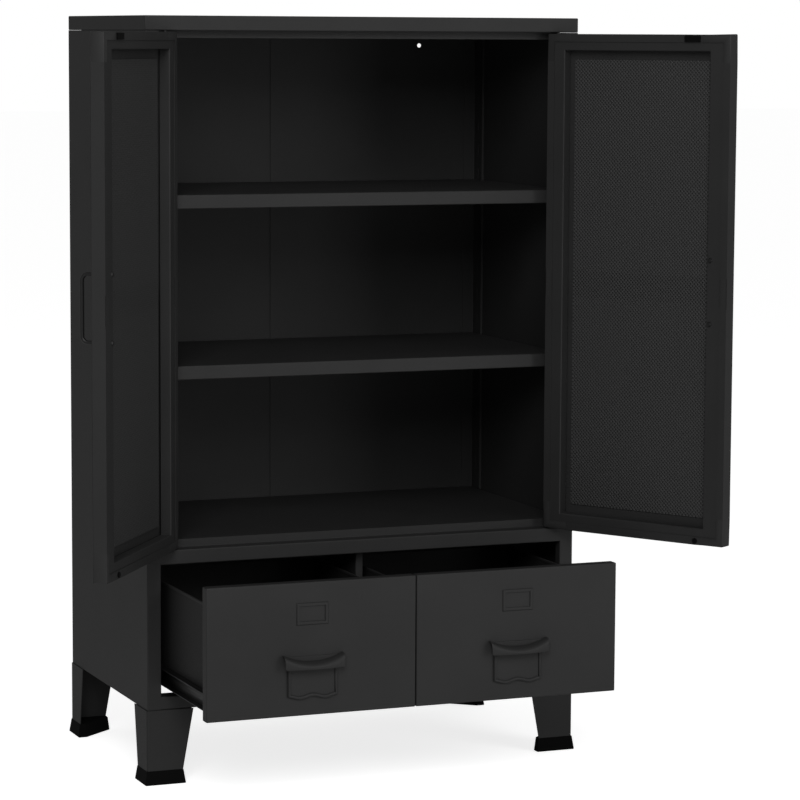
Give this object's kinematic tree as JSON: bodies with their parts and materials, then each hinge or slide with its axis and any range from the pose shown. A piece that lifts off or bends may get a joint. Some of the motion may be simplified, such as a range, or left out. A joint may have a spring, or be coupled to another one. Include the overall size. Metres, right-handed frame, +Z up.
{
  "type": "steel storage cabinet",
  "caption": "Tall folded-steel cabinet with swinging mesh-panel doors over open compartments and pull-out drawers, on tapered angle legs.",
  "frame": {"origin": "on the floor, under the middle of the outline the cabinet has with its doors and drawers open as stored", "axes": "+Z up, -Y out of the cabinet's front, +X to the right of someone facing the front"},
  "size_m": [1.0086, 0.6794, 1.15],
  "materials": {
    "coated_steel": "matt fine-texture powder coat",
    "coated_steel_inner": "matt powder coat, seen in shade",
    "mesh_steel": "matt powder coat on fine mesh",
    "rail_steel": "dark zinc plating",
    "black_hardware": "satin black paint",
    "black_plastic": "matt moulded plastic"
  },
  "bodies": {
    "carcass": {"top_panel": "coated_steel", "left_side_panel": "coated_steel", "left_back_panel": "coated_steel", "left_front_shelf_upright": "coated_steel_inner", "left_front_leg": "coated_steel", "left_front_foot": "black_plastic", "left_rear_shelf_upright": "coated_steel_inner", "left_rear_leg": "coated_steel", "left_rear_foot": "black_plastic", "left_door_top_pin": "rail_steel", "left_door_bottom_pin": "rail_steel", "left_drawer_outer_fixed_rail": "rail_steel", "left_drawer_inner_fixed_rail": "rail_steel", "right_side_panel": "coated_steel", "right_back_panel": "coated_steel", "right_front_shelf_upright": "coated_steel_inner", "right_front_leg": "coated_steel", "right_front_foot": "black_plastic", "right_rear_shelf_upright": "coated_steel_inner", "right_rear_leg": "coated_steel", "right_rear_foot": "black_plastic", "right_door_top_pin": "rail_steel", "right_door_bottom_pin": "rail_steel", "right_drawer_outer_fixed_rail": "rail_steel", "right_drawer_inner_fixed_rail": "rail_steel", "drawer_top_rail": "coated_steel", "compartment_floor": "coated_steel", "front_bottom_rail": "coated_steel", "rear_bottom_rail": "coated_steel", "drawer_divider": "coated_steel", "lower_shelf": "coated_steel", "upper_shelf": "coated_steel"},
    "left_door": {"left_door_panel": "coated_steel", "left_door_frame": "coated_steel", "left_door_mesh": "mesh_steel", "left_door_handle": "black_hardware", "left_door_upper_screw": "rail_steel", "left_door_lower_screw": "rail_steel", "left_door_catch": "black_plastic", "left_door_bumper": "black_plastic"},
    "right_door": {"right_door_panel": "coated_steel", "right_door_frame": "coated_steel", "right_door_mesh": "mesh_steel", "right_door_handle": "black_hardware", "right_door_upper_screw": "rail_steel", "right_door_lower_screw": "rail_steel", "right_door_catch": "black_plastic", "right_door_bumper": "black_plastic"},
    "left_drawer": {"left_drawer_front": "coated_steel", "left_drawer_box": "coated_steel_inner", "left_drawer_outer_moving_rail": "rail_steel", "left_drawer_inner_moving_rail": "rail_steel", "left_drawer_label_holder": "coated_steel", "left_drawer_pull": "coated_steel"},
    "right_drawer": {"right_drawer_front": "coated_steel", "right_drawer_box": "coated_steel_inner", "right_drawer_outer_moving_rail": "rail_steel", "right_drawer_inner_moving_rail": "rail_steel", "right_drawer_label_holder": "coated_steel", "right_drawer_pull": "coated_steel"}
  },
  "joints": [
    {"name": "left_door_hinge", "type": "hinge", "parent": "carcass", "child": "left_door", "pos_m": [-0.30928, -0.06128, 0.74175], "axis": [0, 0, -1], "range_deg": [-126, 9]},
    {"name": "right_door_hinge", "type": "hinge", "parent": "carcass", "child": "right_door", "pos_m": [0.32672, -0.06128, 0.74175], "axis": [0, 0, 1], "range_deg": [-121.5, 13.5]},
    {"name": "left_drawer_slide", "type": "slide", "parent": "carcass", "child": "left_drawer", "axis": [0, -1, 0], "range_m": [-0.206, 0.07]},
    {"name": "right_drawer_slide", "type": "slide", "parent": "carcass", "child": "right_drawer", "axis": [0, -1, 0], "range_m": [-0.206, 0.07]}
  ]
}
